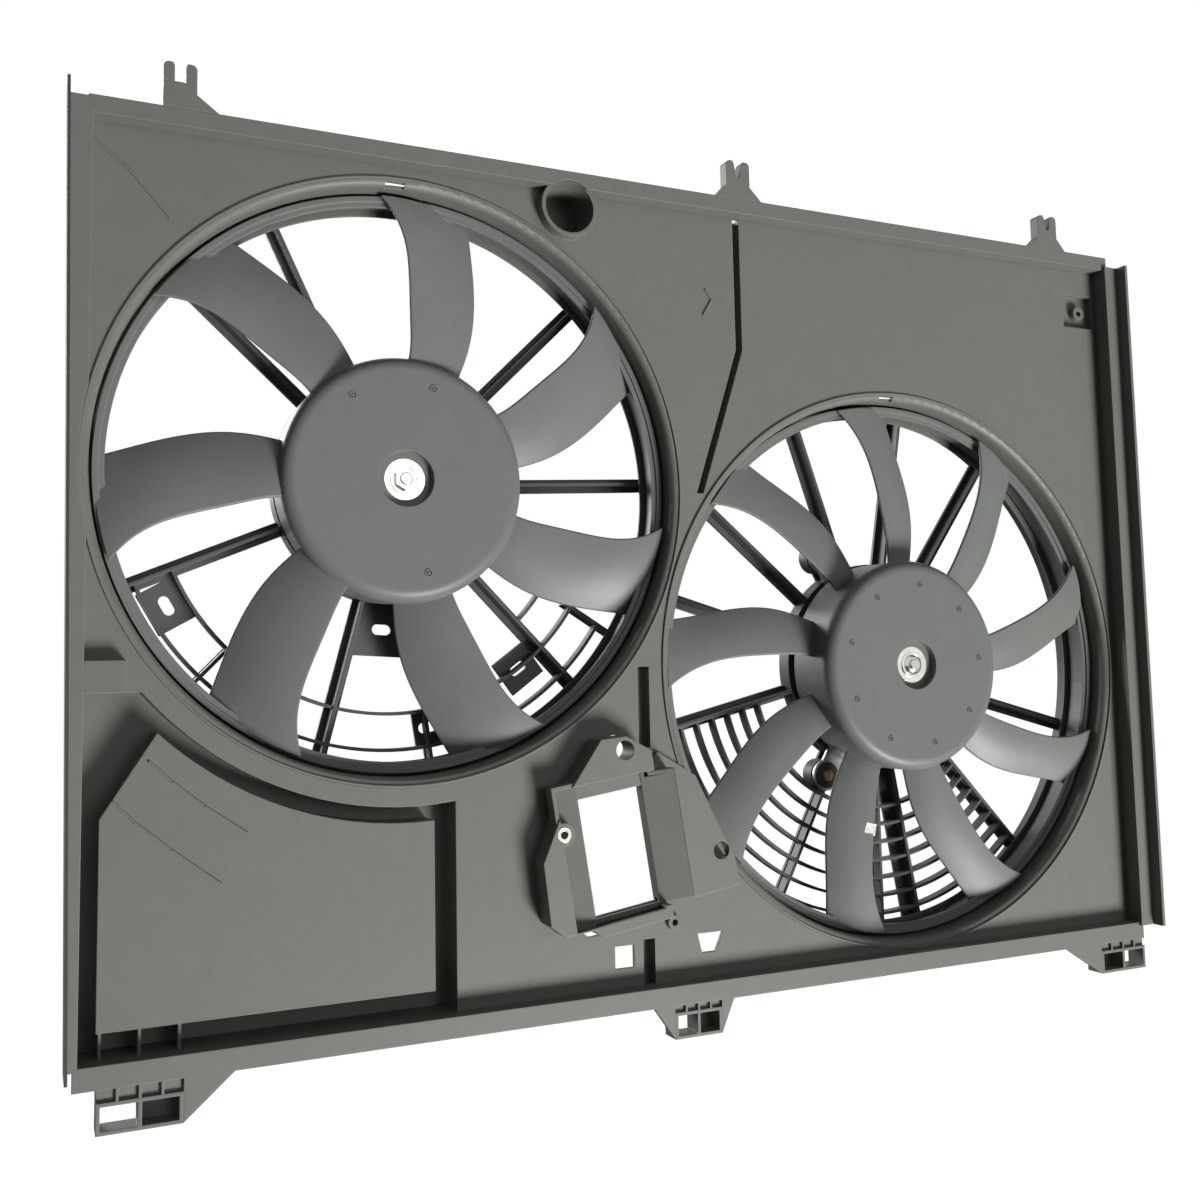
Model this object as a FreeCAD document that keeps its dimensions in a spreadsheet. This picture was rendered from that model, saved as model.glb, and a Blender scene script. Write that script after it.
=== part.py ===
import FreeCAD, Part
import Sketcher
import math
import os
import re

from FreeCAD import Placement, Rotation, Vector

# Twin radiator cooling fan: a moulded shroud with two ringed fans and their motors.
# The frame is millimetres, +Z up, +X right and -Y towards the radiator.
# The origin is the middle of the lower flange, on the face that meets the radiator.

sizes = {
    "rim_width": 740,
    "rim_height": 522,
    "lower_flange": 12,
    "upper_flange": 10,
    "flange_thickness": 3,
    "panel_depth": 11,
    "skin": 2.5,
    "column_top_width": 9.5,
    "column_foot_width": 2.5,
    "column_foot_height": 4,
    "left_axis_x": -190,
    "left_axis_height": 317.5,
    "right_axis_x": 169,
    "right_axis_height": 201,
    "left_bore": 176.5,
    "right_bore": 188.5,
    "barrel_wall": 2.2,
    "barrel_lip": 4,
    "barrel_flange": 1.5,
    "barrel_back": 48,
    "fan_gap": 2,
    "ring_front": 24,
    "ring_back": 42,
    "ring_wall": 2.2,
    "ring_lip": 6.5,
    "left_hub_radius": 74.5,
    "right_hub_radius": 73,
    "left_hub_face": 17,
    "right_hub_face": 0,
    "hub_wall": 3,
    "hub_round": 8,
    "hub_recess_radius": 17,
    "hub_recess_depth": 5,
    "insert_radius": 12.5,
    "hub_boss_depth": 11,
    "blade_thickness": 2.6,
    "left_blade_back": 33,
    "right_blade_back": 28.5,
    "carrier_ring_inner": 50,
    "carrier_ring_outer": 74,
    "carrier_depth": 12,
    "carrier_skin": 2.5,
    "strut_width": 9,
    "wide_strut_width": 16,
    "strut_web": 2.2,
    "grille_bar": 2,
    "grille_depth": 7,
    "left_ear_circle": 62,
    "right_ear_circle": 89.5,
    "ear_radius": 11,
    "ear_plate": 2,
    "bush_flange": 1.5,
    "bush_neck_radius": 7,
    "bush_flange_radius": 9,
    "sleeve_radius": 4,
    "sleeve_bore": 2.1,
    "screw_radius": 2,
    "screw_head_radius": 4.5,
    "screw_head_height": 3,
    "screw_clearance": 0.4,
    "motor_set_back": 13,
    "can_radius": 47,
    "can_wall": 1.8,
    "can_length": 58,
    "can_round": 4,
    "end_plate_thickness": 2.5,
    "shaft_radius": 4,
    "shaft_clearance": 1,
    "bearing_radius": 11,
    "bearing_width": 7,
    "bearing_race": 2,
    "ball_clearance": 0.05,
    "magnet_thickness": 6,
    "magnet_length": 34,
    "armature_radius": 38,
    "armature_length": 26,
    "armature_front": 16,
    "armature_slot": 3.5,
    "winding_length": 6,
    "commutator_radius": 12,
    "commutator_length": 9,
    "brush_width": 6,
    "brush_length": 10,
    "brush_card_thickness": 2,
    "groove_width": 5,
    "lower_groove_width": 8,
    "groove_depth": 8,
    "plenum_depth": 20,
    "plenum_left": -358.5,
    "plenum_right": -176.6,
    "plenum_bottom": 19,
    "plenum_gap": 13,
    "plenum_shelf": 11,
    "plenum_band": 9,
    "fork_height": 26,
    "fork_width": 18,
    "fork_thickness": 8,
    "fork_slot_width": 6,
    "fork_slot_depth": 11,
    "socket_wall": 2,
    "socket_depth": 14,
    "socket_height": 16,
    "port_radius": 16.5,
    "port_depth": 34,
    "housing_x": -62.5,
    "housing_height": 90.2,
    "housing_front": -5,
    "housing_floor": 3,
    "window_width": 45.2,
    "window_height": 72.8,
    "seal_thickness": 1.6,
    "seal_reach": 21,
    "rail_width": 12,
    "rail_overlap": 4,
    "rail_thickness": 2.5,
    "rail_reach": 11,
    "rail_foot": 4,
    "rail_head_drop": 8,
}

doc = FreeCAD.newDocument("radiator_cooling_fan")
sheet = doc.addObject("Spreadsheet::Sheet", "Dimensions")
for row, (alias, number) in enumerate(sizes.items(), start=1):
    sheet.set("A%d" % row, alias)
    sheet.set("B%d" % row, str(number))
    sheet.setAlias("B%d" % row, alias)
doc.recompute()
size = {alias: float(sheet.get(alias)) for alias in sizes}

sub_parts = []


def bound(formula):
    """The formula with each size named as a cell of the sheet."""
    def cell(word):
        return "Dimensions." + word[0] if word[0] in sizes else word[0]
    return re.sub(r"[a-z][a-z_]*", cell, str(formula))


def measure(formula):
    """What the formula comes to, in millimetres."""
    return float(sheet.evalExpression(str(formula)))


def plus(*terms):
    """A formula that adds its terms."""
    return "(%s)" % " + ".join("(%s)" % term for term in terms)


def less(first, *others):
    """A formula that takes the other terms from the first."""
    return "(%s)" % " - ".join("(%s)" % term for term in (first,) + others)


def polar(angle, radius):
    """The place at a radius and an angle clockwise from straight up, seen from the radiator."""
    turn = math.radians(angle)
    return (radius * math.sin(turn), radius * math.cos(turn))


def turned_places(points, angle, start=(0, 0)):
    """Places given across and up, turned clockwise by an angle and moved to a start."""
    turn = math.radians(angle)
    across, along = (math.cos(turn), -math.sin(turn)), (math.sin(turn), math.cos(turn))
    return [(start[0] + x * across[0] + z * along[0], start[1] + x * across[1] + z * along[1])
            for x, z in points]


def new_body(label, axis_x="0", axis_z="0", turn=0):
    """A sub-part whose own Y axis stands at the given place."""
    body = doc.addObject("PartDesign::Body", label)
    body.Label = label
    body.Placement = Placement(Vector(0, 0, 0), Rotation(Vector(0, 1, 0), turn))
    body.setExpression(".Placement.Base.x", bound(axis_x))
    body.setExpression(".Placement.Base.z", bound(axis_z))
    sub_parts.append(body)
    return body


def origin_item(body, role):
    """A plane or axis of the body's own origin."""
    return next(item for item in body.Origin.OriginFeatures if item.Role == role)


def new_sketch(body, role, at="0"):
    """A sketch on one of the body's own origin planes, moved along the frame's axis."""
    sketch = body.newObject("Sketcher::SketchObject", body.Label + "_sketch")
    sketch.AttachmentSupport = [(origin_item(body, role), "")]
    sketch.MapMode = "FlatFace"
    sign = "-" if role == "XZ_Plane" else ""
    sketch.setExpression(".AttachmentOffset.Base.z", "%s(%s)" % (sign, bound(at)))
    return sketch


def turned_sketch(body, angle, start="0"):
    """A sketch square to a spoke at an angle about the body's Y axis, start away from it."""
    sketch = body.newObject("Sketcher::SketchObject", body.Label + "_spoke_sketch")
    sketch.AttachmentSupport = [(origin_item(body, "XY_Plane"), "")]
    sketch.MapMode = "FlatFace"
    turn = Rotation(Vector(0, 1, 0), angle)
    sketch.AttachmentOffset = Placement(turn.multVec(Vector(0, 0, measure(start))), turn)
    return sketch


def fix_point(sketch, edge, end, point):
    """Hold one end of an edge at a place given by two formulas."""
    for kind, formula in zip(("DistanceX", "DistanceY"), point):
        held = Sketcher.Constraint(kind, -1, 1, edge, end, measure(formula))
        index = sketch.addConstraint(held)
        sketch.setExpression("Constraints[%d]" % index, bound(formula))


def draw_outline(sketch, points, arcs=None):
    """A closed outline. arcs gives an edge's radius, negative where it bends inwards."""
    arcs = arcs or {}
    corners = [Vector(measure(x), measure(y), 0) for x, y in points]
    ends = []
    for number, start in enumerate(corners):
        stop = corners[(number + 1) % len(corners)]
        if number not in arcs:
            edge = sketch.addGeometry(Part.LineSegment(start, stop), False)
            ends.append((edge, 1, 2))
            continue
        radius = measure(arcs[number])
        chord = stop - start
        rise = abs(radius) - math.sqrt(max(radius ** 2 - (chord.Length / 2) ** 2, 0))
        outward = Vector(chord.y, -chord.x, 0).normalize()
        middle = (start + stop) / 2 + outward * math.copysign(rise, radius)
        first, last = (start, stop) if radius > 0 else (stop, start)
        edge = sketch.addGeometry(Part.Arc(first, middle, last), False)
        ends.append((edge, 1, 2) if radius > 0 else (edge, 2, 1))
    for number, (edge, first, last) in enumerate(ends):
        following = ends[(number + 1) % len(ends)]
        sketch.addConstraint(Sketcher.Constraint("Coincident", edge, last, following[0], following[1]))
    for point, (edge, first, last) in zip(points, ends):
        fix_point(sketch, edge, first, point)
    for number, radius in arcs.items():
        edge = ends[number][0]
        index = sketch.addConstraint(Sketcher.Constraint("Radius", edge, abs(measure(radius))))
        sketch.setExpression("Constraints[%d]" % index, "abs(%s)" % bound(radius))


def draw_rectangle(sketch, left, bottom, right, top):
    """An upright rectangle between two corners."""
    draw_outline(sketch, [(left, bottom), (right, bottom), (right, top), (left, top)])


def draw_circles(sketch, radii, centres=(("0", "0"),)):
    """Circles of each radius about each centre."""
    for x, y in centres:
        for radius in radii:
            circle = Part.Circle(Vector(measure(x), measure(y), 0), Vector(0, 0, 1), measure(radius))
            edge = sketch.addGeometry(circle, False)
            index = sketch.addConstraint(Sketcher.Constraint("Radius", edge, measure(radius)))
            sketch.setExpression("Constraints[%d]" % index, bound(radius))
            fix_point(sketch, edge, 3, (x, y))


def add_feature(body, kind, sketch, length=None, backward=False):
    """A pad, pocket, revolution or groove of one sketch."""
    feature = body.newObject("PartDesign::" + kind, body.Label + "_" + kind.lower())
    feature.Refine = False
    feature.Profile = (sketch, [""])
    if kind in ("Revolution", "Groove"):
        feature.ReferenceAxis = (sketch, ["V_Axis"])
        feature.Angle = 360
    else:
        feature.setExpression("Length", bound(length))
        feature.Reversed = backward
    return feature


def raise_plate(body, front, depth, draw, *shape):
    """Add material from a front face towards the engine."""
    sketch = new_sketch(body, "XZ_Plane", front)
    draw(sketch, *shape)
    return add_feature(body, "Pad", sketch, depth, backward=True)


def sink_plate(body, front, depth, draw, *shape):
    """Cut from a front face towards the engine."""
    sketch = new_sketch(body, "XZ_Plane", front)
    draw(sketch, *shape)
    return add_feature(body, "Pocket", sketch, depth)


def spin(body, points, arcs=None, kind="Revolution"):
    """Add or cut a turned form, from an outline of radius and depth."""
    sketch = new_sketch(body, "XY_Plane")
    draw_outline(sketch, points, arcs)
    return add_feature(body, kind, sketch)


def turned_part(label, fan, points, arcs=None):
    """A turned piece on a fan's axis."""
    body = new_body(label, fan["x"], fan["z"])
    spin(body, points, arcs)
    return body


def tube_outline(inner, outer, front, back):
    """The half section of a plain tube."""
    return [(inner, front), (outer, front), (outer, back), (inner, back)]


def repeat(body, features, count):
    """Copy features evenly about the body's own Y axis."""
    pattern = body.newObject("PartDesign::PolarPattern", body.Label + "_pattern")
    pattern.Originals = features
    pattern.Axis = (origin_item(body, "Y_Axis"), [""])
    pattern.Angle = 360
    pattern.Occurrences = count
    body.Tip = pattern
    return pattern


def add_strut(body, angle, width, start, stop, front, depth="carrier_depth"):
    """A T-shaped spoke: a thin web towards the fan, its flange towards the engine."""
    sketch = turned_sketch(body, angle, start)
    half, web = "(%s) / 2" % width, "strut_web / 2"
    back = plus(front, depth)
    step = less(back, "carrier_skin")
    draw_outline(sketch, [("-" + web, front), (web, front), (web, step), (half, step), (half, back),
                          ("-" + half, back), ("-" + half, step), ("-" + web, step)])
    return add_feature(body, "Pad", sketch, less(stop, start))


def add_arc_bars(body, radii, start, stop, front):
    """Concentric grille bars between two angles, in one sweep about the fan's axis."""
    sketch = turned_sketch(body, (start + stop) / 2 - 90)
    for radius in radii:
        draw_rectangle(sketch, less(radius, "grille_bar / 2"), front,
                       plus(radius, "grille_bar / 2"), plus(front, "grille_depth"))
    bars = add_feature(body, "Revolution", sketch)
    bars.Angle = stop - start
    bars.Midplane = True
    return bars


def draw_slot(sketch, angle, radius, length, width):
    """A round-ended slot along the tangent, at a radius and angle about the fan's axis."""
    straight, half = (length - width) / 2, width / 2
    ends = turned_places([(-straight, -half), (straight, -half), (straight, half), (-straight, half)],
                         angle, polar(angle, radius))
    draw_outline(sketch, ends, {1: half * 1.0001, 3: half * 1.0001})


# Outer frame of the shroud, in formulas shared by the pieces that meet it
frame_left = "-rim_width / 2"
frame_right = "rim_width / 2"
frame_bottom = "-lower_flange / 2"
frame_top = "(rim_height - lower_flange / 2)"
floor_bottom = "lower_flange / 2"
floor_top = less(frame_top, "upper_flange")
floor_left = plus(frame_left, "skin")
floor_right = less(frame_right, "skin")
panel_back = "(panel_depth + skin)"

# Each fan: its place, its blades, and the struts, grille and ears of its motor carrier.
# A blade section holds its height, its leading and trailing angles and its leading depth.
# A grille holds its bars' radii and the angles where they start and stop.
left_fan = {
    "name": "left", "x": "left_axis_x", "z": "left_axis_height",
    "bore": "left_bore", "hub": "left_hub_radius", "face": "left_hub_face",
    "blades": 7, "first_blade": 15, "blade_back": "left_blade_back",
    "sections": [(72, -12.8, 14.6, 23), (98, -13, 12, 21), (126, -14, 7.5, 19.5),
                 (150, -16.4, 3.3, 18.5), (165, -20.6, 1, 20), (186, -34, -1, 24)],
    "struts": [335, 313, 45, 87, 136, 195, 247.5], "wide_strut": None,
    "grilles": [([140.5, 162.5], 122, 247.5), ([117], 122, 136)],
    "bars": [(172, 140.5), (122, 136), (224.5, 140.5)],
    "tabs": [(240.5, 151.5, 27, 24), (183.5, 89, 34, 33), (171, 151.5, 18, 24), (143.5, 142, 26, 24)],
    "ears": [52, 172, 292], "ear_circle": "left_ear_circle",
}
right_fan = {
    "name": "right", "x": "right_axis_x", "z": "right_axis_height",
    "bore": "right_bore", "hub": "right_hub_radius", "face": "right_hub_face",
    "blades": 9, "first_blade": 5, "blade_back": "right_blade_back",
    "sections": [(70.8, -9.8, 10.4, 19.5), (100, -10.2, 7.8, 18.5), (128, -11.8, 3.5, 18.2),
                 (152, -14, -0.8, 18.6), (175, -18.7, -4, 20), (194, -29, -7, 23)],
    "struts": [341, 310, 10, 36, 105, 137, 256.5, 286.5], "wide_strut": 170,
    "grilles": [([102, 114.6, 127.2, 139.8, 152.4, 165, 177.6], 137, 256.5)],
    "bars": [(180, 73), (208, 73)],
    "tabs": [],
    "ears": [211, 331, 91], "ear_circle": "right_ear_circle",
}
fans = [left_fan, right_fan]
for fan in fans:
    fan["motor"] = plus(fan["face"], "motor_set_back")
    fan["ring"] = less(fan["bore"], "fan_gap")
    fan["lip"] = plus(fan["bore"], "barrel_lip", "barrel_flange")

# Shroud panel: the floor of a moulded tray
panel = new_body("shroud_panel")
raise_plate(panel, "panel_depth", "skin", draw_rectangle,
            frame_left, less(floor_bottom, "skin"), frame_right, plus(floor_top, "skin"))

# Rim of the tray in four runs, which lies on the radiator: flange and wall above and below
upper_rim = new_body("upper_rim")
raise_plate(upper_rim, "0", "flange_thickness", draw_rectangle,
            frame_left, floor_top, frame_right, frame_top)
raise_plate(upper_rim, "0", "panel_depth", draw_rectangle,
            frame_left, floor_top, frame_right, plus(floor_top, "skin"))
lower_rim = new_body("lower_rim")
raise_plate(lower_rim, "0", "flange_thickness", draw_rectangle,
            frame_left, frame_bottom, frame_right, floor_bottom)
raise_plate(lower_rim, "0", "panel_depth", draw_rectangle,
            frame_left, less(floor_bottom, "skin"), frame_right, floor_bottom)
right_rim = new_body("right_rim")
raise_plate(right_rim, "0", "panel_depth", draw_rectangle,
            floor_right, floor_bottom, frame_right, floor_top)

# Left run, with the flange column that narrows towards its foot
column_top = less(frame_top, "1")
column_head = less(frame_left, "column_top_width")
column_foot = less(frame_left, "column_foot_width")
left_rim = new_body("left_rim")
raise_plate(left_rim, "0", "flange_thickness", draw_outline,
            [(column_foot, "column_foot_height"), (frame_left, "column_foot_height"),
             (frame_left, floor_bottom), (floor_left, floor_bottom), (floor_left, floor_top),
             (frame_left, floor_top), (frame_left, column_top), (column_head, column_top)])
raise_plate(left_rim, "0", "panel_depth", draw_rectangle,
            frame_left, floor_bottom, floor_left, floor_top)

# Plenum pad in the lower left corner, with a deep channel round it
channel_high = 194
shoulder = 172
axis_x, axis_z = size["left_axis_x"], size["left_axis_height"]
lip_radius = measure(left_fan["lip"])


def arc_height(radius, x):
    """Height of an arc below the left fan's axis, at a place across."""
    return axis_z - math.sqrt(radius ** 2 - (x - axis_x) ** 2)


def arc_place(radius, z):
    """Place across of that arc, on its left, at a height."""
    return axis_x - math.sqrt(radius ** 2 - (z - axis_z) ** 2)


def channel_outline(grow):
    """Outer edge of the channel, moved outwards by a wall."""
    arc = lip_radius + size["plenum_shelf"] - grow
    right = size["plenum_right"] + size["plenum_gap"] + grow
    low, high = measure(floor_bottom) - grow, channel_high + grow
    left = measure(floor_left) - grow
    points = [(left, low), (right, low), (right, arc_height(arc, right)), (arc_place(arc, high), high),
              (left, high)]
    return points, {2: -arc}


def pad_outline(shrink):
    """Edge of the raised pad inside the channel, moved inwards by a wall."""
    arc = lip_radius + size["plenum_shelf"] + size["plenum_band"] + shrink
    left, right = size["plenum_left"] + shrink, size["plenum_right"] - shrink
    low, high = size["plenum_bottom"] + shrink, shoulder - shrink
    points = [(left, low), (right, low), (right, arc_height(arc, right)), (arc_place(arc, high), high),
              (left, high - 44)]
    return points, {2: -arc}


raise_plate(panel, "panel_depth", "plenum_depth + skin", draw_outline, *channel_outline(size["skin"]))
sink_plate(panel, "0", "panel_depth + plenum_depth", draw_outline, *channel_outline(0))
raise_plate(panel, "panel_depth", "plenum_depth + skin", draw_outline, *pad_outline(0))
sink_plate(panel, panel_back, "plenum_depth", draw_outline, *pad_outline(size["skin"]))
for rib in (1, 20.5, 40.5):
    rib_x = plus("plenum_left", rib)
    raise_plate(panel, "panel_depth", "plenum_depth", draw_rectangle,
                rib_x, less(floor_bottom, 1), plus(rib_x, 1.6), plus("plenum_bottom", 1))

# Block that closes the top of the channel
raise_plate(panel, "2", "panel_depth", draw_rectangle,
            floor_left, channel_high, plus(floor_left, 21), channel_high + 17)

# Divider between the two panels: a channel down from the upper flange and up from the lower
divider_path = [("42", floor_top), ("42", 415), ("33.5", 389), ("9", 316)]


def divider_outline(grow):
    """Outline of the upper channel, wider by a wall on each side."""
    inside = [(plus(x, grow), z) for x, z in divider_path]
    outside = [(less(x, "groove_width", grow), z) for x, z in divider_path]
    return outside + inside[::-1]


lower_left, lower_right = -42.5, "(-42.5 + lower_groove_width)"
lower_runs = ((floor_bottom, 34), (152, 203))
raise_plate(panel, panel_back, "groove_depth", draw_outline, divider_outline("skin"))
for low, high in lower_runs:
    raise_plate(panel, panel_back, "groove_depth", draw_rectangle,
                less(lower_left, "skin"), less(low, "skin"),
                plus(lower_right, "skin"), plus(high, "skin"))
for low, high in lower_runs:
    sink_plate(panel, "panel_depth", "groove_depth", draw_rectangle,
               lower_left, low, lower_right, high)
sink_plate(panel, "panel_depth", "groove_depth", draw_outline, divider_outline("0"))

# Two round openings that the barrels stand in, the left one cut into the rim too
for fan in fans:
    sink_plate(panel, "-1", "panel_depth + plenum_depth * 2", draw_circles,
               [fan["lip"]], [(fan["x"], fan["z"])])
sink_plate(left_rim, "-1", "panel_depth + 2", draw_circles,
           [left_fan["lip"]], [(left_fan["x"], left_fan["z"])])

# Round port beside the left opening, a blind tube that bites into the upper flange
port = [(-87, 494)]
raise_plate(panel, "flange_thickness", "port_depth", draw_circles, ["port_radius + skin"], port)
sink_plate(panel, "-1", "port_depth", draw_circles, ["port_radius"], port)
sink_plate(upper_rim, "flange_thickness", "panel_depth", draw_circles, ["port_radius + skin"], port)
sink_plate(upper_rim, "-1", "flange_thickness + 2", draw_circles, ["port_radius"], port)

# Square pocket with a boss in the upper right corner
pocket_boss = [(351, 473)]
raise_plate(panel, panel_back, "6", draw_rectangle, 331.5, 458.5, 368, 489)
sink_plate(panel, "panel_depth", "6", draw_rectangle, 334, 461, 364, 486.5)
raise_plate(panel, "panel_depth + 1", "6", draw_circles, [5.5], pocket_boss)
sink_plate(panel, "panel_depth", "4", draw_circles, [2.2], pocket_boss)

# Two small windows near the lower flange, and the boss beside the controller housing
screw_boss = [(-21.5, 42.8)]
sink_plate(panel, "panel_depth - 1", "2 * skin", draw_rectangle, -62, 18, -49, 31.5)
sink_plate(panel, "panel_depth - 1", "2 * skin", draw_outline,
           [(-1, 21.5), (9, 21.5), (14.5, 33.5), (-4, 33.5)])
raise_plate(panel, "panel_depth - 3", "3", draw_circles, [4.6], screw_boss)
sink_plate(panel, "panel_depth - 4", "6", draw_circles, [2], screw_boss)

# Controller housing: a platform in front of the panel with a window through its recess.
# Its own axes are turned with the window, whose middle is its origin.
housing_tilt = -8.6
housing_place = (size["housing_x"], size["housing_height"])
window_left, window_right = "-window_width / 2", "window_width / 2"
window_low, window_high = "-window_height / 2", "window_height / 2"
platform = [(-45, -40), (-27, -40.6), (-21, -46), (27, -46), (27, -37), (44, -37), (44, 43.5),
            (29.5, 44), (29.4, 57.5), (14, 69), (-3, 70), (-28.3, 43.5), (-52, 5.4), (-53.3, -31.6)]
inset = [(-43.5, -37.6), (-25.5, -38.2), (-19.5, -43.6), (24.5, -43.6), (24.5, -34.6), (41.6, -34.6),
         (41.6, 41.1), (27.1, 41.6), (27.1, 56.4), (13.2, 66.6), (-2, 67.6), (-26.2, 42.2),
         (-49.6, 4.7), (-50.8, -30.6)]
wing = [(28, -37), (51.8, -41.5), (83.8, -41.3), (83.5, -22.8), (74.8, 1.1), (64.3, 33.6), (40.3, 53.7),
        (28, 44.5)]
housing = new_body("controller_bracket", "housing_x", "housing_height", housing_tilt)
raise_plate(housing, "housing_front", "panel_depth - housing_front", draw_outline, platform)
sink_plate(housing, "housing_front + skin", "panel_depth", draw_outline, inset)
raise_plate(housing, "panel_depth - skin", "skin", draw_outline, wing)
recess = (less(window_left, 15), less(window_low, 3), window_right, plus(window_high, 9))
raise_plate(housing, "housing_front + 1", "housing_floor + skin - housing_front - 1", draw_rectangle,
            less(recess[0], 2.4), recess[1], plus(recess[2], 2.4), plus(recess[3], 2.4))
sink_plate(housing, "housing_front - 1", "housing_floor - housing_front + 1", draw_rectangle, *recess)
sink_plate(housing, "housing_front - 1", "30", draw_rectangle,
           window_left, window_low, window_right, window_high)

# Block right of the window and ledge left of it, which both slope down to the left
block_left, block_right = window_right, 41.6
raise_plate(housing, "housing_front", "panel_depth - housing_front", draw_rectangle,
            block_left, -34.6, block_right, 41.1)
slope = new_sketch(housing, "XY_Plane", "-38")
draw_outline(slope, [(less(block_left, 1), "housing_front - 1"), (43, "housing_front - 1"),
                     (43, "housing_front + 0.2"), (less(block_left, 1), "housing_floor")])
add_feature(housing, "Pocket", slope, "83", backward=True)
ledge = new_sketch(housing, "XY_Plane", less(window_low, 3))
draw_outline(ledge, [(recess[0], "housing_floor + 1"), (recess[0], "housing_floor - 0.1"),
                     (window_left, "housing_floor - 3.5"), (window_left, "housing_floor + 1")])
add_feature(housing, "Pad", ledge, "window_height + 12")
insert_place = (-36, 19)
raise_plate(housing, "housing_front + 1", "housing_floor + skin - housing_front - 1", draw_circles,
            [7], [insert_place])
sink_plate(housing, "housing_front - 1", "9", draw_circles, [4.5], [insert_place])
upper_hole, upper_hole_radius = (11.8, 60.9), 6
side_hole, side_hole_radius = (74.5, -16.9), 5.7
raise_plate(housing, "housing_front + 0.5", "panel_depth - housing_front - 0.5", draw_circles,
            [upper_hole_radius + 2.2], [upper_hole])
sink_plate(housing, "housing_front - 1", "40", draw_circles, [upper_hole_radius], [upper_hole])
sink_plate(housing, "housing_front - 1", "40", draw_circles, [side_hole_radius], [side_hole])

insert = new_body("bracket_insert", "housing_x", "housing_height", housing_tilt)
raise_plate(insert, "housing_front + 0.5", "7.5", draw_circles, [4.5, 2.4], [insert_place])

# Cut-out behind the housing, and the clearance behind its two holes
cut_out = turned_places([(-40, -34), (-24, -48), (24, -50), (24, -34), (41, -34), (41, 40), (26.5, 41),
                         (26.5, 50), (-18, 50), (-47, 5), (-48, -28)], housing_tilt, housing_place)
sink_plate(panel, "panel_depth - 1", "2 * skin", draw_outline, cut_out)
for place, radius in ((upper_hole, upper_hole_radius), (side_hole, side_hole_radius)):
    sink_plate(panel, "panel_depth - 1", "groove_depth * 3", draw_circles, [radius + 2.5],
               turned_places([place], housing_tilt, housing_place))

# Forks on the upper flange, which hang on the radiator's pegs
forks = new_body("radiator_forks")
fork_top = plus(frame_top, "fork_height")
slot_floor = less(fork_top, "fork_slot_depth")
fork_forms = {"left": (-323, 0, 12, 1), "middle": (36, 8, 9, 0.4), "right": (311, 9, 8, 0.4)}
for centre, left_spread, right_spread, floor_share in fork_forms.values():
    left, right = less(centre, "fork_width / 2"), plus(centre, "fork_width / 2")
    slot_left, slot_right = less(centre, "fork_slot_width / 2"), plus(centre, "fork_slot_width / 2")
    slot_half = "fork_slot_width / 2 * %g" % floor_share
    foot_left, foot_right = less(left, left_spread, 0.1), plus(right, right_spread)
    raise_plate(upper_rim, "0", "fork_thickness", draw_rectangle,
                foot_left, less(frame_top, 4), foot_right, frame_top)
    raise_plate(forks, "0", "fork_thickness", draw_outline,
                [(foot_left, frame_top), (foot_right, frame_top), (right, plus(frame_top, 9)),
                 (right, less(fork_top, 3)), (less(right, 3), fork_top), (plus(slot_right, 1), fork_top),
                 (slot_right, less(fork_top, 2)), (plus(centre, slot_half), slot_floor),
                 (less(centre, slot_half), slot_floor), (slot_left, less(fork_top, 2)),
                 (less(slot_left, 1), fork_top), (plus(left, 3), fork_top), (left, less(fork_top, 3)),
                 (left, plus(frame_top, 9))],
                {3: 3, 11: 3})

# Clip sockets under the lower flange: an open cell and a blind cell side by side.
# Each holds its left edge, width, drop below the flange, open cell and the reach of its webs.
sockets = new_body("clip_sockets")
socket_forms = [(-358.5, 42.5, 6.5, 0, 0, 26), (-27, 33, 4, 0, 14, 9), (327, 43, 5, 1, 33, 0)]
for left, width, drop, open_cell, web_left, web_right in socket_forms:
    right, middle = left + width, left + width / 2
    top = less(frame_bottom, drop)
    bottom = less(top, "socket_height")
    raise_plate(sockets, "0", "socket_depth", draw_rectangle, left, bottom, right, top)
    raise_plate(lower_rim, "socket_wall", "socket_depth - socket_wall", draw_rectangle,
                left, top, right, plus(frame_bottom, 3))
    for share in (0.22, 0.48, 0.74):
        rib_x = left + share * width
        raise_plate(lower_rim, "0", "socket_wall + 1", draw_rectangle,
                    rib_x, top, rib_x + 1.5, plus(frame_bottom, 1))
    for edge, reach in ((left, -web_left), (right, web_right)):
        if reach:
            web = [(edge, bottom), (edge + reach, frame_bottom), (edge + reach, plus(frame_bottom, 1)),
                   (edge, plus(frame_bottom, 1))]
            raise_plate(lower_rim, "0", "flange_thickness", draw_outline, web if reach > 0 else web[::-1])
    cells = [(plus(left, "socket_wall"), less(middle, "socket_wall / 2")),
             (plus(middle, "socket_wall / 2"), less(right, "socket_wall"))]
    for number, (start, stop) in enumerate(cells):
        depth = "socket_depth + 2" if number == open_cell else "socket_depth - socket_wall + 1"
        sink_plate(sockets, "-1", depth, draw_rectangle,
                   start, plus(bottom, "socket_wall"), stop, less(top, "socket_wall"))

# Barrels: rolled-lip tubes that the fans' outer rings run in
for fan in fans:
    inner, outer = fan["bore"], plus(fan["bore"], "barrel_wall")
    lip = plus(fan["bore"], "barrel_lip")
    barrel = turned_part(fan["name"] + "_barrel", fan,
                         [(lip, "panel_depth"), (fan["lip"], "panel_depth"), (fan["lip"], panel_back),
                          (outer, plus(panel_back, "barrel_lip / 2")), (outer, "barrel_back"),
                          (inner, "barrel_back"), (inner, "panel_depth + barrel_lip")],
                         {6: "barrel_lip"})
    sink_plate(barrel, "0", plus(panel_back, "barrel_lip / 2"), draw_rectangle,
               -14, less(inner, 2), -2, plus(inner, 3))

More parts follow.
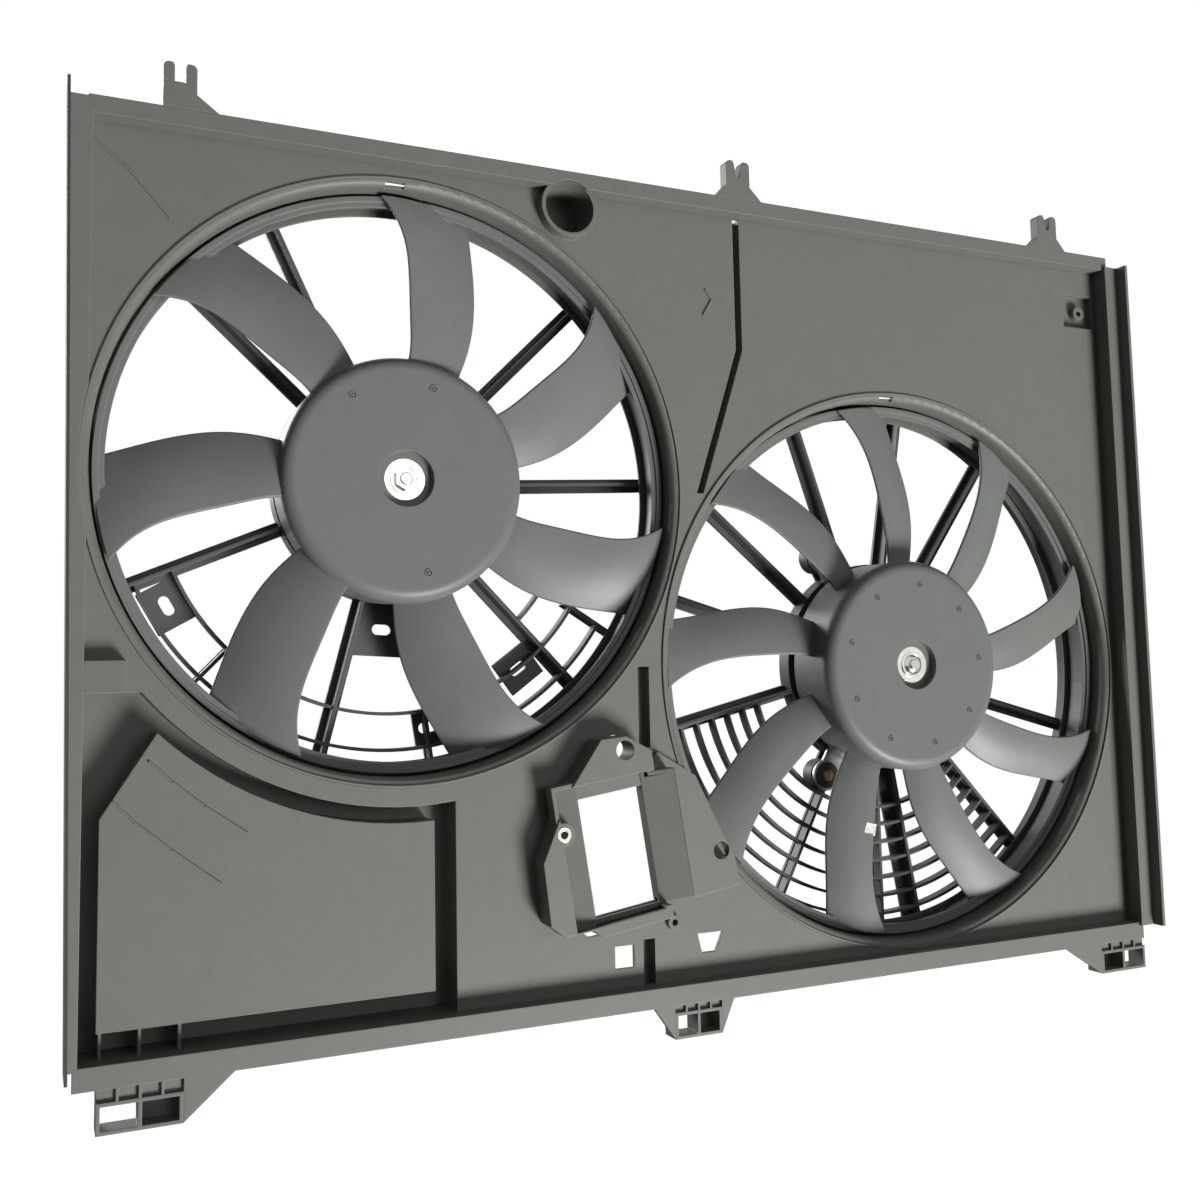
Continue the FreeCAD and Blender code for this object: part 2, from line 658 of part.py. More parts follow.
# Motor carriers: the spider of struts and the stone grille behind each fan
front = "barrel_back"
back = plus(front, "carrier_depth")
for fan in fans:
    carrier = new_body(fan["name"] + "_motor_carrier", fan["x"], fan["z"])
    hub_start, rim_stop = "(carrier_ring_outer - 1)", plus(fan["bore"], 1)
    ring_outer, ring_inner = "carrier_ring_outer", "carrier_ring_inner"
    spin(carrier, [(ring_inner, front), (ring_outer, front), (ring_outer, back),
                   (less(ring_outer, "carrier_skin"), back),
                   (less(ring_outer, "carrier_skin"), plus(front, "carrier_skin")),
                   (plus(ring_inner, "carrier_skin"), plus(front, "carrier_skin")),
                   (plus(ring_inner, "carrier_skin"), back), (ring_inner, back)])
    spin(carrier, tube_outline(fan["bore"], plus(fan["bore"], "barrel_wall + 2"), front,
                               plus(front, "carrier_depth")))
    for angle in fan["struts"]:
        add_strut(carrier, angle, "strut_width", hub_start, rim_stop, front)
    if fan["wide_strut"]:
        add_strut(carrier, fan["wide_strut"], "wide_strut_width", hub_start, rim_stop, front)
    for angle, start in fan["bars"]:
        add_strut(carrier, angle, "strut_web * 1.5", start, rim_stop, plus(front, 1), "carrier_depth - 1")
    for radii, start, stop in fan["grilles"]:
        add_arc_bars(carrier, radii, start, stop, plus(front, 1))
    for angle, radius, across, along in fan["tabs"]:
        corners = [(-across / 2, -along / 2), (across / 2, -along / 2),
                   (across / 2, along / 2), (-across / 2, along / 2)]
        raise_plate(carrier, less(back, "carrier_skin"), "carrier_skin", draw_outline,
                    turned_places(corners, angle, polar(angle, radius)))
    for angle, radius, across, along in fan["tabs"]:
        sink_plate(carrier, less(back, "carrier_skin", 1), "carrier_skin + 2", draw_slot,
                   angle, radius, 12, 6.5)
    ear_circle = size[fan["ear_circle"]]
    ears = [polar(angle, ear_circle) for angle in fan["ears"]]
    for angle in fan["ears"] if ear_circle > size["carrier_ring_outer"] else []:
        add_strut(carrier, angle, "ear_radius", hub_start, fan["ear_circle"],
                  plus(front, "bush_flange"), "carrier_depth - bush_flange")
    raise_plate(carrier, plus(front, "bush_flange"), "carrier_depth - bush_flange", draw_circles,
                ["ear_radius"], ears)
    sink_plate(carrier, less(front, 1), "bush_flange + 1", draw_circles,
               ["bush_flange_radius + 0.3"], ears)
    sink_plate(carrier, less(front, 1), "carrier_depth + 2", draw_circles,
               ["screw_radius + screw_clearance"], ears)

    # Motor flange: a plate round the can with three ears, on rubber bushes
    flange = new_body(fan["name"] + "_motor_flange", fan["x"], fan["z"])
    flange_front = less(front, "ear_plate")
    raise_plate(flange, flange_front, "ear_plate", draw_circles, ["can_radius + ear_radius"])
    arm = [(-8, 50), (8, 50), (8, ear_circle), (-8, ear_circle)]
    for angle in fan["ears"]:
        raise_plate(flange, flange_front, "ear_plate", draw_outline, turned_places(arm, angle))
    raise_plate(flange, flange_front, "ear_plate", draw_circles, ["ear_radius"], ears)
    sink_plate(flange, less(flange_front, 1), "ear_plate + 2", draw_circles, ["bush_neck_radius"], ears)
    sink_plate(flange, less(flange_front, 1), "ear_plate + 2", draw_circles, ["can_radius"])

    bushes = new_body(fan["name"] + "_rubber_bushes", fan["x"], fan["z"])
    bush_front = less(flange_front, "bush_flange")
    for start, depth, radius in ((bush_front, "bush_flange", "bush_flange_radius"),
                                 (flange_front, "ear_plate", "bush_neck_radius"),
                                 (front, "bush_flange", "bush_flange_radius")):
        raise_plate(bushes, start, depth, draw_circles, [radius, "sleeve_radius"], ears)

    sleeves = new_body(fan["name"] + "_bush_sleeves", fan["x"], fan["z"])
    raise_plate(sleeves, less(bush_front, 0.2), "2 * bush_flange + ear_plate + 0.2", draw_circles,
                ["sleeve_radius", "sleeve_bore"], ears)

    screws = new_body(fan["name"] + "_mounting_screws", fan["x"], fan["z"])
    raise_plate(screws, plus(bush_front, 0.5), "2 * bush_flange + ear_plate + carrier_depth - 2",
                draw_circles, ["screw_radius"], ears)
    raise_plate(screws, back, "screw_head_height", draw_circles, ["screw_head_radius"], ears)
    sink_plate(screws, plus(back, "screw_head_height - 1.5"), "2", draw_circles, [2], ears)

# Fans: cup-shaped hub, swept blades and the ring that joins their tips
for fan in fans:
    face, hub = fan["face"], fan["hub"]
    inside = less(hub, "hub_wall")
    impeller = new_body(fan["name"] + "_impeller", fan["x"], fan["z"], fan["first_blade"])
    spin(impeller,
         [("insert_radius", plus(face, "hub_recess_depth")),
          ("hub_recess_radius", plus(face, "hub_recess_depth")), ("hub_recess_radius", face),
          (less(hub, "hub_round"), face), (hub, plus(face, "hub_round")),
          (hub, "ring_back"), (inside, "ring_back"), (inside, plus(face, "hub_round")),
          (less(hub, "hub_round"), plus(face, "hub_wall")),
          ("hub_recess_radius + hub_wall", plus(face, "hub_wall")),
          ("hub_recess_radius + hub_wall", plus(face, "hub_boss_depth")),
          ("insert_radius", plus(face, "hub_boss_depth"))],
         {3: "hub_round", 7: "-(hub_round - hub_wall)"})
    sections = []
    for height, leading, trailing, depth in fan["sections"]:
        section = new_sketch(impeller, "XY_Plane", height)
        start = Vector(height * math.tan(math.radians(leading)), depth, 0)
        stop = Vector(height * math.tan(math.radians(trailing)), size[fan["blade_back"]], 0)
        chord = (stop - start).normalize()
        normal = Vector(chord.y, -chord.x, 0)
        tip = chord * (size["blade_thickness"] / 2)
        half = normal * (size["blade_thickness"] / 2)
        bow = normal * ((stop - start).Length * 0.05)
        start, stop = start + tip, stop - tip
        middle = (start + stop) / 2 + bow
        for first, between, last in ((start - half, middle - half, stop - half),
                                     (stop - half, stop + tip, stop + half),
                                     (stop + half, middle + half, start + half),
                                     (start + half, start - tip, start - half)):
            section.addGeometry(Part.Arc(first, between, last), False)
        sections.append(section)
    blade = impeller.newObject("PartDesign::AdditiveLoft", impeller.Label + "_blade")
    blade.Profile = (sections[0], [""])
    blade.Sections = [(section, [""]) for section in sections[1:]]
    repeat(impeller, [blade], fan["blades"])
    ring = fan["ring"]
    trim = less(ring, "ring_wall / 2")
    spin(impeller, tube_outline(trim, plus(ring, 60), "0", "ring_back + 20"), kind="Groove")
    spin(impeller,
         [(less(ring, "ring_lip"), "ring_front + 1.2"), (less(ring, "ring_lip / 2"), "ring_front + 1.2"),
          (less(ring, "ring_lip / 2"), "ring_front"), (ring, "ring_front"), (ring, "ring_back"),
          (less(ring, "ring_wall"), "ring_back"), (less(ring, "ring_wall"), "ring_front + 3"),
          (less(ring, "ring_lip"), "ring_front + 3")])

# Hub insert and shaft, with the nut or the clip that holds the fan on
for fan in fans:
    name, seat = fan["name"], plus(fan["face"], "hub_recess_depth")
    turned_part(name + "_hub_insert", fan,
                [("shaft_radius", seat), ("insert_radius * 0.6", seat),
                 ("insert_radius * 0.6", less(seat, 1)), ("insert_radius * 0.72", less(seat, 1)),
                 ("insert_radius * 0.72", seat), ("insert_radius", seat),
                 ("insert_radius", plus(fan["face"], "hub_boss_depth")),
                 ("shaft_radius", plus(fan["face"], "hub_boss_depth"))])
    shaft_back = plus(fan["motor"], "can_length + end_plate_thickness + bearing_width")
    shaft_front = plus(fan["face"], 1)
    turned_part(name + "_shaft", fan,
                [("0", shaft_front), ("shaft_radius - 0.6", shaft_front),
                 ("shaft_radius", plus(shaft_front, 0.6)), ("shaft_radius", shaft_back),
                 ("0", shaft_back)])
nut = new_body("left_shaft_nut", "left_axis_x", "left_axis_height")
nut_seat = "(left_hub_face + hub_recess_depth)"
raise_plate(nut, less(nut_seat, 3.5), "3.5", draw_outline,
            [polar(-60 * corner, 7) for corner in range(6)])
sink_plate(nut, less(nut_seat, 4), "5", draw_circles, ["shaft_radius"])
clip_seat = "(right_hub_face + hub_recess_depth)"
turned_part("right_retaining_clip", right_fan,
            [("shaft_radius", less(clip_seat, 2.4)), ("shaft_radius + 1.2", less(clip_seat, 2.4)),
             ("insert_radius * 0.55", less(clip_seat, 0.8)), ("insert_radius * 0.55", clip_seat),
             ("shaft_radius", clip_seat)])

# Motors: a drawn steel can, an end plate and two ball bearings round the shaft
for fan in fans:
    name, motor = fan["name"], fan["motor"]
    shaft_hole, inside = "(shaft_radius + shaft_clearance)", "(can_radius - can_wall)"
    seat, can_floor = "(bearing_radius + can_wall)", plus(motor, "can_wall")
    mouth = plus(motor, "can_length")
    turned_part(name + "_motor_can", fan,
                [(shaft_hole, motor), ("can_radius - can_round", motor),
                 ("can_radius", plus(motor, "can_round")), ("can_radius", mouth), (inside, mouth),
                 (inside, plus(motor, "can_round")), ("can_radius - can_round", can_floor),
                 (seat, can_floor), (seat, plus(can_floor, "bearing_width")),
                 ("bearing_radius", plus(can_floor, "bearing_width")), ("bearing_radius", can_floor),
                 (shaft_hole, can_floor)], {1: "can_round"})
    plate_back = plus(mouth, "end_plate_thickness")
    rear_start = plus(plate_back, 0.3)
    cup_floor = plus(rear_start, "bearing_width")
    turned_part(name + "_motor_end_plate", fan,
                [("bearing_radius", mouth), ("can_radius", mouth), ("can_radius", plate_back),
                 (seat, plate_back), (seat, plus(cup_floor, "can_wall")),
                 ("0", plus(cup_floor, "can_wall")), ("0", cup_floor), ("bearing_radius", cup_floor)])
    outer_rings = new_body(name + "_bearing_outer_rings", fan["x"], fan["z"])
    inner_rings = new_body(name + "_bearing_inner_rings", fan["x"], fan["z"])
    balls = new_body(name + "_bearing_balls", fan["x"], fan["z"])
    first_balls = []
    for start in (can_floor, rear_start):
        stop = plus(start, "bearing_width")
        spin(outer_rings, tube_outline("bearing_radius - bearing_race", "bearing_radius", start, stop))
        spin(inner_rings, tube_outline("shaft_radius", "shaft_radius + bearing_race", start, stop))
        ball = balls.newObject("PartDesign::AdditiveSphere", balls.Label + "_ball")
        ball.AttachmentSupport = [(origin_item(balls, "XY_Plane"), "")]
        ball.MapMode = "FlatFace"
        ball.setExpression("Radius", bound("(bearing_radius - shaft_radius) / 2 - bearing_race"
                                           " - ball_clearance"))
        ball.setExpression(".AttachmentOffset.Base.y", bound(plus(start, "bearing_width / 2")))
        ball.setExpression(".AttachmentOffset.Base.z", bound("(bearing_radius + shaft_radius) / 2"))
        first_balls.append(ball)
    doc.recompute()
    repeat(balls, first_balls, 7)

    # Magnets inside the can, the wound armature and its commutator
    magnets = new_body(name + "_magnets", fan["x"], fan["z"])
    magnet_start = plus(motor, "armature_front - 4")
    magnet = spin(magnets, tube_outline(less(inside, "magnet_thickness"), inside, magnet_start,
                                        plus(magnet_start, "magnet_length")))
    magnet.Angle = 72
    doc.recompute()
    repeat(magnets, [magnet], 4)
    core_front = plus(motor, "armature_front")
    core_back = plus(core_front, "armature_length")
    core = turned_part(name + "_armature_core", fan,
                       tube_outline("shaft_radius", "armature_radius", core_front, core_back))
    slot = sink_plate(core, less(core_front, 1), "armature_length + 2", draw_rectangle,
                      "-armature_slot / 2", "armature_radius * 0.55",
                      "armature_slot / 2", "armature_radius + 1")
    doc.recompute()
    repeat(core, [slot], 12)
    windings = new_body(name + "_windings", fan["x"], fan["z"])
    for start in (less(core_front, "winding_length"), core_back):
        spin(windings, tube_outline("armature_radius * 0.42", "armature_radius * 0.9", start,
                                    plus(start, "winding_length")))
    commutator_start = plus(core_back, "winding_length + 0.5")
    commutator_stop = plus(commutator_start, "commutator_length")
    turned_part(name + "_commutator", fan,
                tube_outline("shaft_radius", "commutator_radius", commutator_start, commutator_stop))

    # Brush card against the end plate, with four brushes on the commutator
    card_front = less(mouth, "brush_card_thickness")
    turned_part(name + "_brush_card", fan,
                tube_outline("commutator_radius + 2", inside, card_front, mouth))
    brushes = new_body(name + "_brushes", fan["x"], fan["z"])
    brush = raise_plate(brushes, less(card_front, "brush_width"), "brush_width", draw_rectangle,
                        "-brush_width / 2", "commutator_radius + 0.1",
                        "brush_width / 2", "commutator_radius + brush_length")
    doc.recompute()
    repeat(brushes, [brush], 4)

    # Electrical socket moulded onto the end plate, below the bearing cup
    socket = new_body(name + "_motor_socket", fan["x"], fan["z"])
    socket_low, socket_high = -36, -20
    raise_plate(socket, plate_back, "16", draw_rectangle, -14, socket_low, 14, socket_high)
    sink_plate(socket, plus(plate_back, 4), "13", draw_rectangle,
               -12, socket_low + 2, 12, socket_high - 2)
    for pin_x in (-6, 4):
        raise_plate(socket, plus(plate_back, 3), "9", draw_rectangle, pin_x, -31, pin_x + 2, -25)

# Rubber seal that stands forward along the left column
seal = new_body("left_side_seal")
seal_bottom, seal_top = "column_foot_height", column_top
raise_plate(seal, "-seal_reach", "seal_reach + flange_thickness", draw_outline,
            [(less(column_foot, "seal_thickness"), seal_bottom), (column_foot, seal_bottom),
             (column_head, seal_top), (less(column_head, "seal_thickness"), seal_top)])

# Right side rail: an angle on the flange, its outer leg towards the radiator
rail = new_body("right_side_rail")
rail_section = new_sketch(rail, "XY_Plane", "rail_foot")
rail_inner = less(frame_right, "rail_overlap")
rail_outer = plus(rail_inner, "rail_width + rail_thickness")
draw_outline(rail_section,
             [(rail_inner, "-rail_thickness"), (less(rail_outer, "rail_thickness"), "-rail_thickness"),
              (less(rail_outer, "rail_thickness"), "-rail_reach"), (rail_outer, "-rail_reach"),
              (rail_outer, "0"), (rail_inner, "0")])
add_feature(rail, "Pad", rail_section, less(frame_top, "rail_head_drop", "rail_foot"))

# Check every object, then write each sub-part
doc.recompute()
for item in doc.Objects:
    faults = {"Invalid", "Error"} & set(item.State)
    if faults:
        raise RuntimeError("%s is %s" % (item.Label, ", ".join(faults)))
for item in sub_parts:
    if item.Shape.isNull() or not item.Shape.isValid():
        raise RuntimeError("%s has no valid shape" % item.Label)
os.makedirs("parts", exist_ok=True)
for item in sub_parts:
    item.Shape.exportStep("parts/%s.step" % item.Label)
    print("%-28s %2d solids %10.1f mm3" % (item.Label, len(item.Shape.Solids), item.Shape.Volume))
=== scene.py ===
import math

import bpy
from mathutils import Matrix, Vector


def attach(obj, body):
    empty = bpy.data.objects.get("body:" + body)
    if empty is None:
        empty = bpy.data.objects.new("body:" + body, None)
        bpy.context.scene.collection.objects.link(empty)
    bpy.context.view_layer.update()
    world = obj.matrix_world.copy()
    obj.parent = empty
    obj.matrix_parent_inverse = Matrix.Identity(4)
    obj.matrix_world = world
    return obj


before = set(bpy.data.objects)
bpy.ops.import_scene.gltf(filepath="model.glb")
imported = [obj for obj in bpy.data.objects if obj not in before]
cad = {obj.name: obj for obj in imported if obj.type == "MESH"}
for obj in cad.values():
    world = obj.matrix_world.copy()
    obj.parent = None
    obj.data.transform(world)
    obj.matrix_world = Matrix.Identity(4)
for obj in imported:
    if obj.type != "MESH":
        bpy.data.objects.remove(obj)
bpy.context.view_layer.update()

# The fans' axes run along Y, through these places across and up, in metres
left_axis, right_axis = (-0.19, 0.3175), (0.169, 0.201)
# Width of one wave of Blender's wave pattern at a scale of 1, in metres
wave_width = 0.314

# Studio view. The camera stands left of the fan, a little low, and looks up and to the right
# at the radiator side, as the photographer did.
view = bpy.data.cameras.new("studio_camera")
view.lens = 37.26
view.shift_x = 0.0041
view.shift_y = -0.032
camera = bpy.data.objects.new("studio_camera", view)
bpy.context.scene.collection.objects.link(camera)
camera_place = (-0.3939, -0.6967, 0.1997)
look_right, look_up, tilt = math.radians(24.56), math.radians(5.11), math.radians(-1.11)
camera.matrix_world = (Matrix.Translation(camera_place)
                       @ Matrix.Rotation(-look_right, 4, "Z")
                       @ Matrix.Rotation(math.pi / 2 + look_up, 4, "X")
                       @ Matrix.Rotation(tilt, 4, "Z"))
bpy.context.scene.camera = camera
bpy.context.scene.view_settings.view_transform = "Standard"


def linear(colour):
    """A hex sRGB colour as the linear red, green, blue and alpha that nodes take."""
    parts = [int(colour[place:place + 2], 16) / 255 for place in (1, 3, 5)]
    return [part / 12.92 if part <= 0.04045 else ((part + 0.055) / 1.055) ** 2.4
            for part in parts] + [1]


def add_node(tree, kind, settings=None, values=None, links=None):
    """One shader node with its settings, its sockets' values and its incoming links."""
    node = tree.nodes.new("ShaderNode" + kind)
    for name, setting in (settings or {}).items():
        setattr(node, name, setting)
    for socket, value in (values or {}).items():
        node.inputs[socket].default_value = value
    for socket, source in (links or {}).items():
        tree.links.new(source, node.inputs[socket])
    return node


def two_tones(tree, pattern, dark, light):
    """A pattern's colours, from a dark tone to a light one, both linear."""
    ramp = add_node(tree, "ValToRGB", links={"Fac": pattern.outputs["Fac"]})
    ramp.color_ramp.elements[0].color = dark
    ramp.color_ramp.elements[1].color = light
    return ramp.outputs["Color"]


def scaled(colour, share):
    """A linear colour with its light scaled by a share."""
    return [part * share for part in colour[:3]] + [1]


def new_material(name):
    """An empty material and its output node."""
    material = bpy.data.materials.new(name)
    material.use_nodes = True
    material.node_tree.nodes.clear()
    return material, material.node_tree, add_node(material.node_tree, "OutputMaterial")


# Floor of the studio: seamless white card, far below the fan. It shines white for the camera
# alone.
bpy.ops.object.select_all(action="DESELECT")
bpy.ops.mesh.primitive_plane_add(size=30, location=(0, 0, -3.2))
floor = bpy.context.object
floor.name = "white_floor"
white_card, tree, output = new_material("white_card")
seen = add_node(tree, "LightPath")
paper_grain = add_node(tree, "TexNoise", values={"Scale": 40, "Detail": 2})
paper_tone = add_node(tree, "MapRange", values={"To Min": 0.49, "To Max": 0.51},
                      links={"Value": paper_grain.outputs["Fac"]})
card = add_node(tree, "BsdfDiffuse", links={"Color": paper_tone.outputs["Result"]})
glow = add_node(tree, "Emission", values={"Color": (1, 1, 1, 1)},
                links={"Strength": seen.outputs["Is Camera Ray"]})
both = add_node(tree, "AddShader", links={0: card.outputs[0], 1: glow.outputs[0]})
tree.links.new(both.outputs[0], output.inputs["Surface"])
floor.data.materials.append(white_card)

# Studio light: one large softbox below and in front, far enough to light the fan evenly, a
# weaker one in front, and one behind for views of the motors. The room's own light is dim, and
# only its look is white.
lit_place = Vector((0, 0, 0.25))
for lamp_name, place, width, power in (("key_softbox", (1.26, -2.2, -2.0), 1.1, 205),
                                       ("front_softbox", (1.4, -4.2, 0.9), 1.6, 24),
                                       ("back_softbox", (-1.5, 2.6, 1.3), 1.5, 90)):
    lamp = bpy.data.lights.new(lamp_name, "AREA")
    lamp.size = width
    lamp.energy = power
    light = bpy.data.objects.new(lamp_name, lamp)
    light.location = place
    light.rotation_euler = (Vector(place) - lit_place).to_track_quat("Z", "Y").to_euler()
    bpy.context.scene.collection.objects.link(light)
room = bpy.data.worlds.new("white_room")
bpy.context.scene.world = room
room.use_nodes = True
tree = room.node_tree
tree.nodes.clear()
seen = add_node(tree, "LightPath")
camera_or_gloss = add_node(tree, "Math", {"operation": "MAXIMUM"},
                           links={0: seen.outputs["Is Camera Ray"], 1: seen.outputs["Is Glossy Ray"]})
sees_white = add_node(tree, "Math", {"operation": "MAXIMUM"},
                      links={0: camera_or_gloss.outputs[0], 1: seen.outputs["Is Transmission Ray"]})
strength = add_node(tree, "MapRange", values={"To Min": 0.08, "To Max": 1.0},
                    links={"Value": sees_white.outputs[0]})
sky = add_node(tree, "Background", values={"Color": (1, 1, 1, 1)},
               links={"Strength": strength.outputs["Result"]})
tree.links.new(sky.outputs[0], add_node(tree, "OutputWorld").inputs["Surface"])


# Shroud, bracket, rail and barrels: injection-moulded nylon filled with glass fibre, dark
# grey with a green cast. The mould leaves a fine even grain, the fibre faint flow marks, and
# handling polishes the edges to a paler grey.
def moulded_nylon(name, colour, grain=0.00012, gloss=0.47, flow=55):
    """Dull moulded plastic: flow marks, spark-eroded grain, and edges rubbed paler."""
    material, tree, output = new_material(name)
    place = add_node(tree, "TexCoord").outputs["Object"]
    flow_marks = add_node(tree, "TexNoise", values={"Scale": flow, "Detail": 3, "Distortion": 1.2},
                          links={"Vector": place})
    cloud = add_node(tree, "TexNoise", values={"Scale": 6, "Detail": 2}, links={"Vector": place})
    # Real grain is about 0.2 mm across; drawn at 0.7 mm so that it shows
    spark_grain = add_node(tree, "TexNoise", values={"Scale": 1400, "Detail": 2, "Roughness": 0.6},
                           links={"Vector": place})
    worn_edge = add_node(tree, "Bevel", {"samples": 4}, {"Radius": 0.0009})
    flat = add_node(tree, "NewGeometry")
    along = add_node(tree, "VectorMath", {"operation": "DOT_PRODUCT"},
                     links={0: worn_edge.outputs[0], 1: flat.outputs["Normal"]})
    edge_share = add_node(tree, "MapRange", values={"From Min": 0.995, "From Max": 0.9,
                                                    "To Min": 0, "To Max": 0.35},
                          links={"Value": along.outputs["Value"]})
    plain = linear(colour)
    shade = two_tones(tree, flow_marks, scaled(plain, 0.93), scaled(plain, 1.07))
    rubbed = add_node(tree, "Mix", {"data_type": "RGBA"},
                      {"B": [min(part * 1.9, 1) for part in plain[:3]] + [1]},
                      {"Factor": edge_share.outputs["Result"], "A": shade})
    dullness = add_node(tree, "MapRange", values={"To Min": gloss - 0.05, "To Max": gloss + 0.05},
                        links={"Value": cloud.outputs["Fac"]})
    relief = add_node(tree, "Bump", values={"Strength": 0.35, "Distance": grain},
                      links={"Height": spark_grain.outputs["Fac"], "Normal": worn_edge.outputs[0]})
    shader = add_node(tree, "BsdfPrincipled", values={"IOR": 1.53, "Specular IOR Level": 0.25},
                      links={"Base Color": rubbed.outputs["Result"],
                             "Roughness": dullness.outputs["Result"], "Normal": relief.outputs[0]})
    tree.links.new(shader.outputs[0], output.inputs["Surface"])
    return material


def finish(material, *nodes):
    """Gives CAD nodes their material."""
    for node in nodes:
        cad[node].data.materials.clear()
        cad[node].data.materials.append(material)


shroud_nylon = moulded_nylon("shroud_glass_filled_nylon", "#62655f")
finish(shroud_nylon, "shroud_panel", "upper_rim", "lower_rim", "left_rim", "right_rim",
       "radiator_forks", "clip_sockets", "right_side_rail", "left_barrel", "right_barrel")
finish(moulded_nylon("bracket_glass_filled_nylon", "#646761", flow=70), "controller_bracket")

# Fans: the same nylon from smoother moulds, so the blades have a soft sheen and finer grain
fan_nylon = moulded_nylon("fan_glass_filled_nylon", "#626561", grain=0.00008, gloss=0.43, flow=40)
finish(fan_nylon, "left_impeller", "right_impeller")

# Motor carriers: the same nylon with a darker base colour as painted shade, because their ribs are
# thin and stand in the fans' shade
carrier_nylon_painted_shade = moulded_nylon("carrier_nylon_with_painted_shade", "#484b48", flow=60)
finish(carrier_nylon_painted_shade, "left_motor_carrier", "right_motor_carrier")


# Rubber: extruded side seal and moulded motor bushes, black, matt and faintly bloomed
def black_rubber(name):
    """Carbon-black EPDM with a dusty bloom and a soft pebbled skin."""
    material, tree, output = new_material(name)
    place = add_node(tree, "TexCoord").outputs["Object"]
    bloom = add_node(tree, "TexNoise", values={"Scale": 90, "Detail": 4}, links={"Vector": place})
    pebbles = add_node(tree, "TexVoronoi", values={"Scale": 1100}, links={"Vector": place})
    tone = two_tones(tree, bloom, linear("#1b1d1d"), linear("#2d2f2e"))
    relief = add_node(tree, "Bump", values={"Strength": 0.25, "Distance": 0.0001},
                      links={"Height": pebbles.outputs["Distance"]})
    shader = add_node(tree, "BsdfPrincipled", values={"Roughness": 0.72, "IOR": 1.52},
                      links={"Base Color": tone, "Normal": relief.outputs[0]})
    tree.links.new(shader.outputs[0], output.inputs["Surface"])
    return material


rubber = black_rubber("epdm_rubber")
finish(rubber, "left_side_seal", "left_rubber_bushes", "right_rubber_bushes")


# Metal pieces turned or drawn about the fans' axes: hub inserts, shafts, cans and plates
def turned_metal(name, colour, roughness, axis, pitch=0.0011, depth=0.00003):
    """Metal with the rings that a lathe or a drawing press leaves about the axis."""
    material, tree, output = new_material(name)
    place = add_node(tree, "TexCoord").outputs["Object"]
    centred = add_node(tree, "Mapping", values={"Location": (-axis[0], 0, -axis[1])},
                       links={"Vector": place})
    # Real tool marks are 0.1 mm apart; drawn ten times coarser so that they show
    rings = add_node(tree, "TexWave", {"wave_type": "RINGS", "rings_direction": "Y"},
                     {"Scale": wave_width / pitch, "Distortion": 0.6, "Detail": 2, "Detail Scale": 3},
                     {"Vector": centred.outputs[0]})
    haze = add_node(tree, "TexNoise", values={"Scale": 120, "Detail": 4}, links={"Vector": place})
    tone = two_tones(tree, haze, scaled(linear(colour), 0.82), linear(colour))
    dullness = add_node(tree, "MapRange",
                        values={"To Min": roughness - 0.06, "To Max": roughness + 0.08},
                        links={"Value": haze.outputs["Fac"]})
    eased_edge = add_node(tree, "Bevel", {"samples": 4}, {"Radius": 0.0004})
    relief = add_node(tree, "Bump", values={"Strength": 0.4, "Distance": depth},
                      links={"Height": rings.outputs["Fac"], "Normal": eased_edge.outputs[0]})
    shader = add_node(tree, "BsdfPrincipled", values={"Metallic": 1},
                      links={"Base Color": tone,
                             "Roughness": dullness.outputs["Result"], "Normal": relief.outputs[0]})
    tree.links.new(shader.outputs[0], output.inputs["Surface"])
    return material


for side, axis in (("left", left_axis), ("right", right_axis)):
    finish(turned_metal(side + "_nickel_plated_insert", "#e9e7e0", 0.2, axis), side + "_hub_insert")
    finish(turned_metal(side + "_ground_steel_shaft", "#bfc0bd", 0.3, axis, 0.0008), side + "_shaft")
    finish(turned_metal(side + "_zinc_plated_can", "#a7aaa8", 0.38, axis, 0.004),
           side + "_motor_can", side + "_motor_end_plate", side + "_motor_flange")
    finish(turned_metal(side + "_bearing_steel", "#c8cacb", 0.18, axis, 0.0008),
           side + "_bearing_outer_rings", side + "_bearing_inner_rings", side + "_bearing_balls")
    finish(turned_metal(side + "_zinc_plated_screws", "#b6b7b1", 0.3, axis, 0.0009),
           side + "_mounting_screws")
    finish(turned_metal(side + "_commutator_copper", "#c98f68", 0.28, axis, 0.001),
           side + "_commutator")
    finish(turned_metal(side + "_brass_sleeves", "#c9a865", 0.3, axis, 0.0009),
           side + "_bush_sleeves")
bracket_insert_axis = (-0.1009, 0.1036)
finish(turned_metal("pale_brass_insert", "#e6e2d6", 0.26, bracket_insert_axis, 0.0009),
       "bracket_insert")
finish(turned_metal("zinc_plated_nut", "#dcdad2", 0.22, left_axis, 0.0009), "left_shaft_nut")
finish(turned_metal("spring_steel_clip", "#d2d1cb", 0.24, right_axis, 0.0009), "right_retaining_clip")


